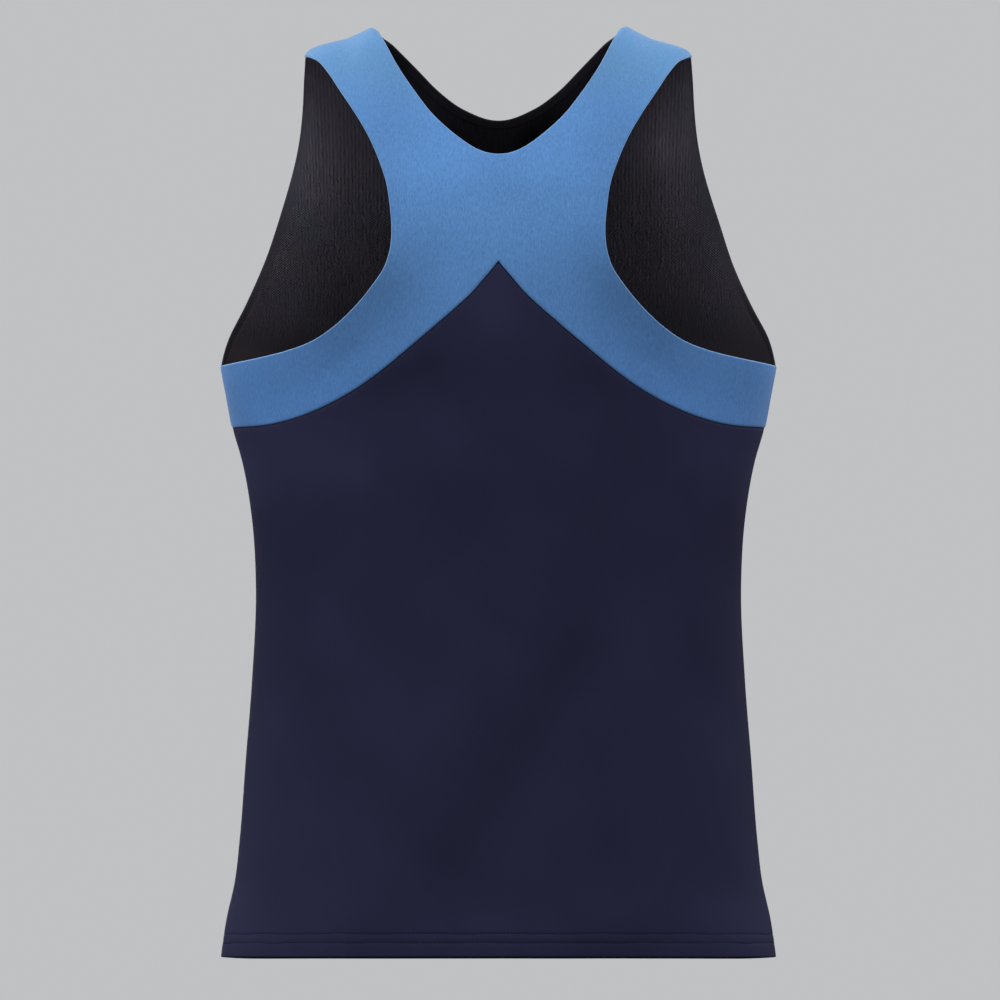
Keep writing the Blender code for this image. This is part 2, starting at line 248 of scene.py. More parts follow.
#         x1    z1    x2    z2 width  tone
PAINTED_LIGHT_AND_SHADE = {
    ("yoke_cloth", OUTER): (
        ( 84,    2,  112,   -8, 14,  0.04),
        (-84,    2, -112,   -8, 14,  0.06),
        ( 62,  -18,   72,  -60, 18,  -0.1),
        (-62,  -18,  -72,  -60, 18, -0.09),
        (-40, -105,   40, -105, 36,  0.16),
        ( 30,  -86,   46,  -92, 20,   0.1),
        (-30,  -86,  -46,  -92, 20,  0.05),
        ( 60, -145,  170, -235, 24, -0.15),
        (-60, -145, -170, -235, 24, -0.16),
        ( 78, -168,  100, -188, 26,  -0.2),
        (-78, -168, -100, -188, 26, -0.22),
    ),
    ("back_cloth", OUTER): (
        (   0, -150,    0, -175, 18,  0.18),
        (  75, -222,   45, -208, 12, -0.12),
        ( -50, -205,  -72, -228, 14,  -0.1),
        ( 160, -262,   95, -268, 26,   0.3),
        (-165, -262, -130, -262, 22,  0.26),
        ( -54, -388,   32, -520, 20,  -0.2),
        ( -62, -450,  -70, -510, 14, -0.08),
        ( 158, -450,  172, -560, 30,  0.08),
        (-154, -450, -172, -560, 30,  0.05),
        ( 150, -570,  178, -575, 20,  0.14),
        (-150, -570, -178, -575, 20,  0.14),
        (  50, -262,  -50, -262, 24,   0.1),
        ( 157, -310,  168, -500, 12, -0.17),
        (-157, -310, -168, -500, 12, -0.17),
        ( 136, -330,  136, -400, 20, -0.09),
        (-136, -330, -136, -400, 20, -0.08),
        ( 128, -500,  112, -560, 22,  0.09),
        ( 150, -578,  105, -578, 18,  0.08),
        (-118, -560, -145, -570, 18,  0.08),
        (  45, -566,  -32, -566, 12,  0.12),
        ( -50, -580,  -85, -578, 14,  -0.1),
    ),
    ("front_cloth", INNER): (
        (   122,  -10,  124,  -90,  18,  0.75),
        (  -120,  -10, -110,  -60,  18,  0.85),
        ( 115.7,  -14,  115,  -70, 3.5, -0.15),
        (-115.7,  -14, -115,  -70, 3.5, -0.14),
        (   130,  -50,  137, -140,  13,  0.22),
        (   113, -136,  100, -172,  14, -0.12),
        (    72, -130,  135, -205,  16, -0.22),
        (   165, -188,  120, -204,  14,  -0.2),
        (   -78, -160, -165, -200,  20, -0.27),
        (  -117,  -90, -116, -108,  14,   0.2),
        (  -100, -125,  -98, -136,  12, -0.12),
        (   120,  -82,  121,  -90,  12, -0.12),
        (   120, -118,  122, -126,  12,  0.13),
        (   -28,  -62,   28,  -62,  22, -0.45),
        (   -20,  -58,  -82,   -6,   9,  -0.4),
    ),
}

# Slow unevenness of worn knit, as waves along the cloth.
#   round   down  wavelength   out   phase
WAVES = (
    (0.90,  0.44,      92.0,  0.22,   0.6),
    (-0.72, 0.69,      71.0,  0.16,   2.1),
    (0.98, -0.17,      57.0,  0.12,   4.0),
    (0.31,  0.95,      83.0,  0.13,   1.2),
    (0.55, -0.83,      46.0,  0.08,   5.3),
)

# Cloth. Each layer's outer face stands at `out` from the figure and its wall is `thick`.
YOKE_OUT, YOKE_THICK = 0.45 * MM, 1.7 * MM
PANEL_OUT, PANEL_THICK = 0.0 * MM, 0.85 * MM
TURNING = 6.2 * MM            # width of the edge turned in at the front's neck and armholes
TURNING_THICK = 0.45 * MM
HEM_TURNED = 17.2 * MM        # width of the hem that is turned up inside
HEM_THICK = 0.65 * MM
STEP = 0.5 * MM               # how softly a turned layer's edge steps down
ROLL = 0.9 * MM               # how far in from a turned edge the cloth rounds off
SEAM_ROLL = 0.5 * MM
SEAM_SINK, SEAM_WIDTH = 0.45 * MM, 0.9 * MM

# The two rows of stitches in the hem.
STITCH_ROWS = MM * np.array((9.1, 14.8))
STITCH_PITCH = 2.45 * MM
STITCH_LENGTH = 1.6 * MM
STITCH_GROOVE, GROOVE_WIDTH = 0.28 * MM, 0.7 * MM
STITCH_SUNK, STITCH_ARCH = 0.20 * MM, 0.34 * MM
STITCH_STRAY = 0.45 * MM      # how far a row wanders
STRAY_LEAST = 0.45            # the share of that in the middle
STRAY_GROWS = 200.0 * MM      # how far round from the middle it wanders most
# The waves in which it wanders: their share, the length of a radian and the phase between rows.
STRAY_WAVES = ((0.6, 9.1 * MM, 2.3), (0.4, 5.3 * MM, 1.1))
HEM_END = 1.5 * MM            # how far from the side seams the stitches end
LOOP_BELOW, LOOP_ABOVE = 0.4 * MM, 0.9 * MM     # how far the loops reach past both rows
LOOP_DIP, LOOP_FLATNESS = 0.25 * MM, 6          # how far and how suddenly a loop's ends dip
STITCH_SAMPLES, LOOP_SAMPLES = 7, 9             # points along each
THREAD, THREAD_TAPER = 0.21 * MM, 0.35      # radius, and its share at each end
LOOP_THREAD, EDGE_THREAD = 0.9 * THREAD, 0.8 * THREAD
THREAD_SIDES, FINE_SIDES = 6, 5

# Where the mesh has extra rows of points, measured in from each kind of edge.
RINGS = {
    "turned": MM * np.array((0.05, 0.18, 0.4, 0.68, 1.0, 1.9)),
    "faced": MM * np.array((0.05, 0.18, 0.4, 0.68, 1.0, 1.9, 5.7, 5.95, 6.2, 6.45, 6.7)),
    "seam": MM * np.array((0.08, 0.25, 0.5, 0.9, 1.4, 2.2)),
    "hem": MM * np.array((0.05, 0.18, 0.4, 0.68, 1.0, 1.9, 8.2, 8.65, 9.1, 9.55, 10.0,
                          13.9, 14.35, 14.8, 15.25, 15.7, 16.5, 16.85, 17.2, 17.55, 17.9)),
}

# Mesh fineness.
YOKE_SPACING, BACK_SPACING, FRONT_SPACING = 1.8 * MM, 2.5 * MM, 2.7 * MM
RING_CLEARANCE = 0.12 * MM
LATTICE_CLEARANCE = 0.62      # as a share of the spacing
# How near a row's points may come to their own edge, to other edges and to earlier points,
# as shares of the row's distance in.
RING_SHARES = (0.8, 0.6, 0.45)
KNIT_GRID = (31, 90)          # angles and turns at which the way round is measured
EDGE_SAMPLE = 0.4 * MM
EDGE_SOFTNESS = 2.2 * MM      # how far an edge's curve is evened out
ARMHOLE_SOFTNESS = 7.0 * MM   # the same for the front's armholes, as flat cloth
CURVE_SAMPLES, SEAM_SAMPLES, SIDE_SAMPLES = 401, 24, 60
SKIN_ROUNDS, FLAT_ROUNDS = 11, 7
PROBE = 1e-4


def smooth(xs, ys, x):
    """Read a smooth curve through the points (xs, ys) at x."""
    slopes = np.gradient(ys, xs)
    x = np.clip(x, xs[0], xs[-1])
    row = np.clip(np.searchsorted(xs, x, side="right") - 1, 0, len(xs) - 2)
    step = xs[row + 1] - xs[row]
    t = (x - xs[row]) / step
    start = (1 + 2 * t) * (1 - t) ** 2 * ys[row] + t * (1 - t) ** 2 * step * slopes[row]
    end = t * t * (3 - 2 * t) * ys[row + 1] + t * t * (t - 1) * step * slopes[row + 1]
    return start + end


def ease(t):
    """Go smoothly from 0 to 1."""
    t = np.clip(t, 0.0, 1.0)
    return t * t * (3 - 2 * t)


def bell(t):
    return np.exp(-t * t)


def running(points):
    """How far along a path of points each one lies."""
    steps = np.linalg.norm(np.diff(points, axis=0), axis=1)
    return np.concatenate(([0.0], np.cumsum(steps)))


# The figure's tables as smooth curves, read at close points.
HEIGHTS = np.linspace(BODY[0, 0], BODY[-1, 0], 5001)
WIDTHS, BACKS, FRONTS = (smooth(BODY[:, 0], column, HEIGHTS) for column in BODY.T[1:])
RIDGE_X = np.linspace(RIDGE[0, 0], RIDGE[-1, 0], 3001)
RIDGE_Z = smooth(RIDGE[:, 0], RIDGE[:, 1], RIDGE_X)


def half_width(z):
    return np.interp(z, HEIGHTS, WIDTHS)


def ridge(x):
    return np.interp(np.abs(x), RIDGE_X, RIDGE_Z)


def skin(theta, turn):
    """Points of the figure at theta and turn."""
    theta, turn = np.broadcast_arrays(np.asarray(theta, float), np.asarray(turn, float))
    back = turn >= 0
    fall = np.abs(turn)
    radius = np.where(back, BACK_ROUND, FRONT_ROUND)
    drop = radius * np.where(fall < QUARTER, 1 - np.cos(fall), 1 + fall - QUARTER)
    bulge = np.where(fall < QUARTER, np.sin(fall), 1.0)
    z = -drop
    for _ in range(SKIN_ROUNDS):    # the width and the height depend on each other
        x = half_width(z) * np.sin(theta)
        z = ridge(x) - drop
    depth = np.where(back, np.interp(z, HEIGHTS, BACKS), -np.interp(z, HEIGHTS, FRONTS))
    fullness = np.where(back, BACK_FULLNESS, FRONT_FULLNESS)
    y = depth * np.cos(theta) * (1 + fullness * np.sin(theta) ** 2) * bulge
    return np.stack((x, y, z), axis=-1)


def on_figure(places):
    return skin(places[..., 0], places[..., 1])


def round_of(side):
    return BACK_ROUND if side == BACK else FRONT_ROUND


def place(side, x, z):
    """Theta and turn of the figure's point at x and z on the back or the front."""
    theta = np.arcsin(np.clip(x / half_width(z), -1.0, 1.0))
    share = np.maximum(ridge(x) - z, 0.0) / round_of(side)
    fall = np.where(share < 1, np.arccos(1 - np.minimum(share, 1.0)), QUARTER + share - 1)
    return np.stack((theta, side * fall), axis=-1)


def outward(theta, turn):
    """Unit normals of the figure, pointing away from the wearer."""
    round_it = skin(theta + PROBE, turn) - skin(theta - PROBE, turn)
    over_it = skin(theta, turn + PROBE) - skin(theta, turn - PROBE)
    normal = np.cross(round_it, over_it)
    return normal / np.linalg.norm(normal, axis=-1, keepdims=True)


def resample(places, parts):
    """Points at even distances on a smooth curve through places on the figure."""
    run = running(on_figure(places))
    fine = np.linspace(0.0, run[-1], CURVE_SAMPLES)
    curve = np.stack([smooth(run, column, fine) for column in places.T], axis=-1)
    run = running(on_figure(curve))
    even = np.linspace(0.0, run[-1], parts + 1)
    return np.stack([np.interp(even, run, column) for column in curve.T], axis=-1)


def length(places):
    return float(running(on_figure(places))[-1])


def smoothed(table, softness=EDGE_SOFTNESS):
    """Close points on a smooth curve that follows a table's points, with its ends kept."""
    run = running(table)
    even, gap = np.linspace(0.0, run[-1], CURVE_SAMPLES, retstep=True)
    curve = np.stack([smooth(run, column, even) for column in table.T], axis=-1)
    reach = round(3 * softness / gap)
    weights = bell(np.arange(-reach, reach + 1) * gap / (math.sqrt(2) * softness))
    weights /= weights.sum()
    before = 2 * curve[0] - curve[reach:0:-1]
    after = 2 * curve[-1] - curve[-2:-reach - 2:-1]
    longer = np.vstack((before, curve, after))
    return np.stack([np.convolve(column, weights, "valid") for column in longer.T], axis=-1)


def along_seam(x):
    """Places on the shoulder seam at x."""
    return np.stack((np.arcsin(x / half_width(0.0)), np.full_like(x, SEAM_TURN)), axis=-1)


def from_seam(side, x, table):
    """An edge's places on the figure, starting on the shoulder seam at x."""
    return np.vstack((along_seam(np.array(x)), place(side, table[:, 0], table[:, 1])))


def at_height(side, theta, height):
    """Places on the straight lower part of the figure at theta and height."""
    found = place(side, half_width(height) * np.sin(theta), height)
    return np.stack((theta, found[..., 1]), axis=-1)


def hem_height(side, theta):
    """Height of the hem's plane at the foot of a column."""
    foot = place(side, half_width(HEM_AT_SIDE) * np.sin(theta), np.full_like(theta, HEM_AT_SIDE))
    longer = FRONT_LONGER * ease(2.0 * np.cos(theta)) if side == FRONT else 0.0
    return HEM_AT_SIDE + HEM_SLOPE * on_figure(foot)[..., 1] - longer


FLIP = np.array((-1.0, 1.0))    # takes places to the other half of the top


def mirrored(places):
    """The same edge on the other half of the top, run the other way."""
    return places[::-1] * FLIP


# Measures round the figure, so that flat coordinates are nearly real lengths.
MEAN_WIDTH, MEAN_DEPTH = 170.0 * MM, 108.0 * MM
ROUND_THETA = np.radians(np.linspace(-95.0, 95.0, 381))
ROUND_STEPS = np.hypot(MEAN_WIDTH * np.cos(ROUND_THETA), MEAN_DEPTH * np.sin(ROUND_THETA))
ROUND_RUN = np.cumsum(ROUND_STEPS) * (ROUND_THETA[1] - ROUND_THETA[0])
ROUND_RUN -= np.interp(0.0, ROUND_THETA, ROUND_RUN)


def flatten(side, places):
    """Places as flat coordinates, in metres: round the figure, and up it."""
    theta, turn = places.T
    up = lift(side, theta, turn) - side * turn * round_of(side)
    return np.stack((np.interp(theta, ROUND_THETA, ROUND_RUN), up), axis=-1)


def lift(side, theta, turn):
    """How much higher a place lies in flat cloth for the ridge above it."""
    return ridge(skin(theta, turn)[:, 0]) * np.sin(np.clip(side * turn, -QUARTER, QUARTER))


def unflatten(side, flat):
    """The places of flat coordinates."""
    theta = np.interp(flat[:, 0], ROUND_RUN, ROUND_THETA)
    fall = -flat[:, 1] / round_of(side)
    for _ in range(FLAT_ROUNDS):
        fall = (lift(side, theta, side * fall) - flat[:, 1]) / round_of(side)
    return np.stack((theta, side * fall), axis=-1)


def knit_run(theta, turn):
    """How far round the figure each place lies, which is where its wale runs."""
    angles = np.radians(np.linspace(0.0, 90.0, KNIT_GRID[0]))
    turns = np.linspace(turn.min(), turn.max(), KNIT_GRID[1])
    points = skin(angles[:, None], turns[None, :])
    steps = np.linalg.norm(np.diff(points, axis=0), axis=-1)
    run = np.vstack((np.zeros((1, len(turns))), np.cumsum(steps, axis=0)))
    across = np.clip(np.abs(theta), 0.0, QUARTER) / QUARTER * (len(angles) - 1)
    down = (turn - turns[0]) / (turns[-1] - turns[0]) * (len(turns) - 1)
    i = np.minimum(across.astype(int), len(angles) - 2)
    j = np.minimum(down.astype(int), len(turns) - 2)
    a, b = across - i, down - j
    upper = run[i, j] * (1 - a) + run[i + 1, j] * a
    lower = run[i, j + 1] * (1 - a) + run[i + 1, j + 1] * a
    return np.sign(theta) * (upper * (1 - b) + lower * b)


def beside(points, x1, z1, x2, z2, width):
    """How far along a line each point lies, and how near it, both from 0 to 1."""
    start, end = MM * np.array((x1, z1)), MM * np.array((x2, z2))
    line = end - start
    offset = points[:, (0, 2)] - start
    along = np.clip(offset @ line / (line @ line), 0.0, 1.0)
    away = np.linalg.norm(offset - along[:, None] * line, axis=1)
    return along, bell(away / (width * MM))


def shade(name, face, points):
    """The painted light and shade on a piece's face: how much lighter its colour is at each point, as a
    share.
    """
    tone = np.zeros(len(points))
    for *line, lighter in PAINTED_LIGHT_AND_SHADE.get((name, face), ()):
        tone += lighter * beside(points, *line)[1]
    return tone


def neck_curl(points):
    """How far the straps' corners at the neck curl over at each point."""
    move = np.zeros(len(points))
    sine, cosine = math.sin(NECK_SLOPE), math.cos(NECK_SLOPE)
    for x, z, across, along, out in NECK_CURL:
        dx = np.abs(points[:, 0]) / MM - x
        dz = points[:, 2] / MM - z
        near = bell((dx * sine - dz * cosine) / across)
        move += out * MM * near * bell((dx * cosine + dz * sine) / along)
    return move


def drape(theta, turn, points):
    """How far folds and unevenness move the cloth out at each point."""
    move = neck_curl(points)
    for side, *line, out in FOLDS:
        along, height = beside(points, *line)
        height *= FOLD_ENDS + (1 - FOLD_ENDS) * np.sin(math.pi * along)
        move += np.where(np.sign(turn) == side, out * MM * height, 0.0)
    fade = ease((QUARTER - np.abs(theta)) / FOLD_FADE)
    across = flatten(BACK, np.stack((theta, turn), axis=-1))[:, 0]
    for round_share, down_share, wavelength, out, phase in WAVES:
        run = (round_share * across + down_share * points[:, 2]) / (wavelength * MM)
        move += out * MM * np.sin(2 * math.pi * run + phase)
    return move * fade


# The panels' outlines. Each is a list of (kind of edge, places along it), in order.

def to_side_seam(edge):
    """An edge that ends on the side seam, as places at even distances."""
    edge[-1, 0] = QUARTER
    return resample(edge, CURVE_SAMPLES)


def yoke_seam():
    return to_side_seam(place(BACK, *smoothed(YOKE_SEAM).T))


def neck_edge(side, table):
    """The whole neck edge, from the wearer's left shoulder to the right one."""
    both = smoothed(np.vstack((table, table[-2::-1] * FLIP)))
    half = both[:(len(both) + 1) // 2]
    left = from_seam(side, NECK_POINT, half)
    return resample(np.vstack((left, mirrored(left)[1:])), CURVE_SAMPLES)


def shoulder_seam(short=0.0):
    """The shoulder seam's places on the wearer's left, from the armhole to the neck."""
    return along_seam(np.linspace(SHOULDER_TIP - short, NECK_POINT + short, SEAM_SAMPLES))


def with_straps(kind, armhole, side, lower, neck):
    """The outline of a panel with two armholes and two straps, from its left half's edges."""
    shoulder = shoulder_seam()
    return [
        (kind, armhole),
        ("seam", side),
        *lower,
        ("seam", mirrored(side)),
        (kind, mirrored(armhole)),
        ("seam", shoulder * FLIP),
        (kind, neck[::-1]),
        ("seam", shoulder[::-1]),
    ]


def yoke_outline():
    armhole = to_side_seam(from_seam(BACK, SHOULDER_TIP, smoothed(YOKE_ARMHOLE)))
    seam = yoke_seam()
    side = np.linspace(armhole[-1], seam[-1], SEAM_SAMPLES)
    lower = [("seam", seam[::-1]), ("seam", seam * FLIP)]
    return with_straps("turned", armhole, side, lower, neck_edge(BACK, YOKE_NECK))


def hem_line(side):
    theta = np.linspace(-QUARTER, QUARTER, CURVE_SAMPLES)
    return at_height(side, theta, hem_height(side, theta))


def back_outline():
    seam = yoke_seam()
    height = on_figure(seam)[:, 2] - YOKE_SEAM_DROP
    top = at_height(BACK, seam[:, 0], height)
    hem = hem_line(BACK)
    side = np.linspace(top[-1], hem[-1], SIDE_SAMPLES)
    return [
        ("seam", side),
        ("hem", hem[::-1]),
        ("seam", mirrored(side)),
        ("seam", mirrored(top)),
        ("seam", top),
    ]


def front_outline():
    edge = flatten(FRONT, from_seam(FRONT, SHOULDER_TIP, smoothed(FRONT_ARMHOLE)))
    armhole = to_side_seam(unflatten(FRONT, smoothed(edge, ARMHOLE_SOFTNESS)))
    hem = hem_line(FRONT)
    side = np.linspace(armhole[-1], hem[-1], SIDE_SAMPLES)
    return with_straps("faced", armhole, side, [("hem", hem[::-1])], neck_edge(FRONT, FRONT_NECK))


def deep(points):
    """Points with a third coordinate, 0 where they have none."""
    return points if points.shape[1] == 3 else np.column_stack((points, np.zeros(len(points))))


def search_tree(points):
    tree = kdtree.KDTree(len(points))
    for i, point in enumerate(points):
        tree.insert(point, i)
    tree.balance()
    return tree


class Curve:
    """A curve given by close points, flat or in space, that tells how far points lie from it."""

    def __init__(self, points):
        self.points = deep(points)
        self.tree = search_tree(self.points)

    def away(self, points):
        points = deep(points)
        near = np.array([self.tree.find(point)[1] for point in points], int)
        best = np.full(len(points), np.inf)
        for first in (near - 1, near):
            first = np.clip(first, 0, len(self.points) - 2)
            start = self.points[first]
            line = self.points[first + 1] - start
            size = np.maximum((line * line).sum(axis=1), 1e-18)
            along = np.clip(((points - start) * line).sum(axis=1) / size, 0.0, 1.0)
            best = np.minimum(best, np.linalg.norm(points - start - along[:, None] * line, axis=1))
        return best


def inside(polygon, points):
    """Which flat points lie inside a polygon."""
    x, y = points.T
    found = np.zeros(len(points), bool)
    for (x1, y1), (x2, y2) in zip(polygon, np.roll(polygon, -1, axis=0)):
        if y1 != y2:
            crosses = (y1 > y) != (y2 > y)
            found ^= crosses & (x < (x2 - x1) * (y - y1) / (y2 - y1) + x1)
    return found


def ring_points(side, loop, distance):
    """Flat points at a real distance in from an edge of a panel, square to it."""
    here = on_figure(unflatten(side, loop))
    round_it = (on_figure(unflatten(side, loop + (PROBE, 0.0))) - here) / PROBE
    up_it = (on_figure(unflatten(side, loop + (0.0, PROBE))) - here) / PROBE
    along = np.gradient(loop, axis=0)
    edge = round_it * along[:, :1] + up_it * along[:, 1:]
    inward = np.stack(((up_it * edge).sum(axis=1), -(round_it * edge).sum(axis=1)), axis=-1)
    step = round_it * inward[:, :1] + up_it * inward[:, 1:]
    return loop + inward * (distance / np.linalg.norm(step, axis=1))[:, None]


def panel_points(side, outline, spacing):
    """Flat points of a panel: its boundary, rows of points along each edge, then a lattice."""
    loops = [flatten(side, resample(places, max(2, round(length(places) / spacing))))
             for _, places in outline]
    boundary = np.vstack([loop[:-1] for loop in loops])
    from_own, from_others, from_points = RING_SHARES
    groups = [(boundary, 0.0)]
    for number, ((kind, _), loop) in enumerate(zip(outline, loops)):
        own = Curve(loop)
        others = Curve(np.vstack([other for i, other in enumerate(loops) if i != number]))
        for distance in RINGS[kind]:
            ring = ring_points(side, loop, distance)
            flat_step = np.linalg.norm(ring - loop, axis=1)
            ring = ring[inside(boundary, ring) & (own.away(ring) > from_own * flat_step)]
            ring = ring[others.away(ring) > min(from_others * distance, RING_CLEARANCE)]
            groups.append((ring, min(from_points * distance, RING_CLEARANCE)))
    low, high = boundary.min(axis=0), boundary.max(axis=0)
    rows = np.arange(low[1], high[1], spacing * math.sqrt(0.75))
    columns = np.arange(low[0], high[0], spacing)
    shift = np.where(np.arange(len(rows)) % 2, spacing / 2, 0.0)
    lattice = np.broadcast_arrays(columns + shift[:, None], rows[:, None])
    lattice = np.stack(lattice, axis=-1).reshape(-1, 2)
    groups.append((lattice[inside(boundary, lattice)], LATTICE_CLEARANCE * spacing))
    return thin_out(groups), len(boundary)


def thin_out(groups):
    """Join groups of points, leaving out those too near the points of earlier groups."""
    kept = np.empty((0, 2))
    for points, least in groups:
        if len(kept):
            tree = search_tree(deep(kept))
            clear = [tree.find(point)[2] >= least for point in deep(points)]
            points = points[np.array(clear, bool)]
        kept = np.vstack((kept, points))
    return kept


def panel_mesh(side, outline, spacing):
    """A panel's places and triangles, and which of its points lie on the boundary."""
    points, rim = panel_points(side, outline, spacing)
    edges = [(i, (i + 1) % rim) for i in range(rim)]
    while True:
        made = geometry.delaunay_2d_cdt([Vector(point) for point in points], edges,
                                        [list(range(rim))], 1, 1e-7)
        flat = np.array([tuple(point) for point in made[0]])
        faces = np.array([tuple(face) for face in made[2]])
        on_rim = np.array([any(i < rim for i in source) for source in made[3]])
        pairs = np.sort(np.vstack((faces[:, (0, 1)], faces[:, (1, 2)], faces[:, (2, 0)])), axis=1)
        pairs, uses = np.unique(pairs, axis=0, return_counts=True)
        across = pairs[(uses == 2) & on_rim[pairs].all(axis=1)]
        if not len(across):
            return unflatten(side, flat), faces, on_rim
        # An edge there would pinch the wall, so it gets a point of its own.
        points = np.vstack((points, flat[across].mean(axis=1)))


def rounded(away, reach):
    """How full a wall is, from nothing at its edge to all of it past reach."""
    return np.sqrt(1 - (1 - np.clip(away / reach, 0.0, 1.0)) ** 2)


def wobble(row, across):
    """How far a row of hem stitches strays at each point round the hem."""
    side = ease(np.abs(across) / STRAY_GROWS)
    waves = sum(share * np.sin(across / run + phase * row) for share, run, phase in STRAY_WAVES)
    return STITCH_STRAY * (STRAY_LEAST + (1 - STRAY_LEAST) * side) * waves


def faces_of_cloth(away, across, out, thick):
    """How far the outer and the inner face of a panel stand from the figure."""
    outer = np.full(len(across), out)
    inner = outer - thick
    if "faced" in away:
        inner = inner - TURNING_THICK * ease((TURNING - away["faced"]) / STEP + 0.5)
    if "hem" in away:
        inner = inner - HEM_THICK * ease((HEM_TURNED - away["hem"]) / STEP + 0.5)
        for number, row in enumerate(STITCH_ROWS):
            groove = (away["hem"] - row - wobble(number, across)) / GROOVE_WIDTH
            outer = outer - STITCH_GROOVE * bell(groove)
    sink = SEAM_SINK * bell(away["seam"] / SEAM_WIDTH)
    free = np.min([away[kind] for kind in away if kind != "seam"], axis=0)
    full = rounded(free, ROLL) * rounded(away["seam"], SEAM_ROLL)
    middle = (outer + inner) / 2 - sink
    half = (outer - inner) / 2 * full
    return middle + half, middle - half


def add_object(name, data):
    made = bpy.data.objects.new(name, data)
    bpy.context.scene.collection.objects.link(made)
    return made


def add_mesh(name, points, faces, slot, materials, knit=None, tone=None, kinds=None):
    """Make an object that rides on the top's one body."""
    data = bpy.data.meshes.new(name)
    data.from_pydata(points.tolist(), [], faces)
    shell = bmesh.new()
    shell.from_mesh(data)
    if shell.calc_volume(signed=True) < 0:
        bmesh.ops.reverse_faces(shell, faces=shell.faces)
        shell.to_mesh(data)
    shell.free()
    data.shade_smooth()
    for material in materials:
        data.materials.append(material)
    if knit is not None:
        data.polygons.foreach_set("material_index", kinds)
        layer = data.attributes.new("knit", "FLOAT_VECTOR", "POINT")
        layer.data.foreach_set("vector", knit.astype(np.float32).ravel())
        # The painted light and shade of each point, as a share lighter.
        layer = data.attributes.new("tone", "FLOAT", "POINT")
        layer.data.foreach_set("value", tone.astype(np.float32))
    piece = add_object(name, data)
    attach(piece, "root")
    return piece


def panel(name, side, outline, spacing, out, thick, slot, materials):
    """Make one cut panel of cloth as a closed shell with two faces."""
    places, faces, rim = panel_mesh(side, outline, spacing)
    theta, turn = places.T
    base = on_figure(places)
    away = {}
    for kind in {kind for kind, _ in outline}:
        curves = [on_figure(resample(edge, max(8, round(length(edge) / EDGE_SAMPLE))))
                  for edge_kind, edge in outline if edge_kind == kind]
        away[kind] = np.min([Curve(curve).away(base) for curve in curves], axis=0)
    across = knit_run(theta, turn)
    outer, inner = faces_of_cloth(away, across, out, thick)
    outer[rim] = inner[rim] = (outer[rim] + inner[rim]) / 2
    normal = outward(theta, turn)
    move = drape(theta, turn, base)
    outside = base + normal * (move + outer)[:, None]
    lining = base + normal * (move + inner)[:, None]

    corners = base[faces]
    facing = np.cross(corners[:, 1] - corners[:, 0], corners[:, 2] - corners[:, 0])
    wrong = (facing * normal[faces[:, 0]]).sum(axis=1) < 0
    faces[wrong] = faces[wrong][:, ::-1]
    twin = np.arange(len(places))
    twin[~rim] = len(places) + np.arange((~rim).sum())
    points = np.vstack((outside, lining[~rim]))
    both = np.vstack((faces, twin[faces][:, ::-1]))
    free = np.min([away[kind] for kind in away if kind != "seam"], axis=0)
    knit = np.stack((across, base[:, 2], free), axis=-1)
    knit = np.vstack((knit, knit[~rim]))
    # The painted light and shade on the outer face, then on the inner one.
    tone = np.concatenate((shade(name, OUTER, base), shade(name, INNER, base[~rim])))
    kinds = np.zeros(len(both), int)
    kinds[len(faces):] = len(materials) - 1
    if "hem" in away:
        turned_up = (away["hem"][faces] < HEM_TURNED).all(axis=1)
        kinds[len(faces):][turned_up] = 0
    return add_mesh(name, points, both.tolist(), slot, materials, knit, tone, kinds)


def cloth_points(places, outs):
    """Points at given distances out from the draped figure, and the directions out."""
    theta, turn = places[..., 0], places[..., 1]
    base = skin(theta, turn)
    normal = outward(theta, turn)
    move = drape(theta.ravel(), turn.ravel(), base.reshape(-1, 3)).reshape(theta.shape)
    return base + normal * (move + outs)[..., None], normal


def ring_faces(count, stations, sides):
    """Faces of closed tubes: `count` of them, each of `stations` rings of `sides` points."""
    first = (np.arange(count) * stations * sides)[:, None, None]
    here = first + (np.arange(stations - 1) * sides)[None, :, None]
    there = here + sides
    k = np.arange(sides)
    after = (k + 1) % sides
    quads = np.stack((there + k, there + after, here + after, here + k), axis=-1)
    faces = quads.reshape(-1, 4).tolist()
    for start in first.ravel().tolist():
        last = start + (stations - 1) * sides
        faces.append([start + i for i in range(sides)])
        faces.append([last + i for i in reversed(range(sides))])
    return faces


def tubes(lines, normals, radius, sides):
    """Points and faces of round threads along lines of equally many points each."""
    along = np.gradient(lines, axis=1)
    along /= np.linalg.norm(along, axis=2, keepdims=True)
    across = np.cross(along, normals)
    across /= np.linalg.norm(across, axis=2, keepdims=True)
    above = np.cross(across, along)
    turn = (np.arange(sides) * 2 * math.pi / sides)[:, None]
    ring = across[:, :, None] * np.cos(turn) + above[:, :, None] * np.sin(turn)
    taper = np.ones(lines.shape[1])
    taper[0] = taper[-1] = THREAD_TAPER
    points = lines[:, :, None] + ring * (radius * taper)[:, None, None]
    return points.reshape(-1, 3), ring_faces(*lines.shape[:2], sides)


def joined(groups):
    """Join groups of (points, faces) into one."""
    points, faces, count = [], [], 0
    for more, loops in groups:
        points.append(more)
        faces += [[i + count for i in loop] for loop in loops]
        count += len(more)
    return np.vstack(points), faces


def hem_places(side, across, above):
    """Places on the hem at distances round it and above its edge."""
    theta = np.interp(across, *hem_round(side))
    return at_height(side, theta, hem_height(side, theta) + above)


def hem_round(side):
    """How far round the hem each angle lies, as two tables for reading angles."""
    places = hem_line(side)
    run = running(on_figure(places))
    return run - run[-1] / 2, places[:, 0]


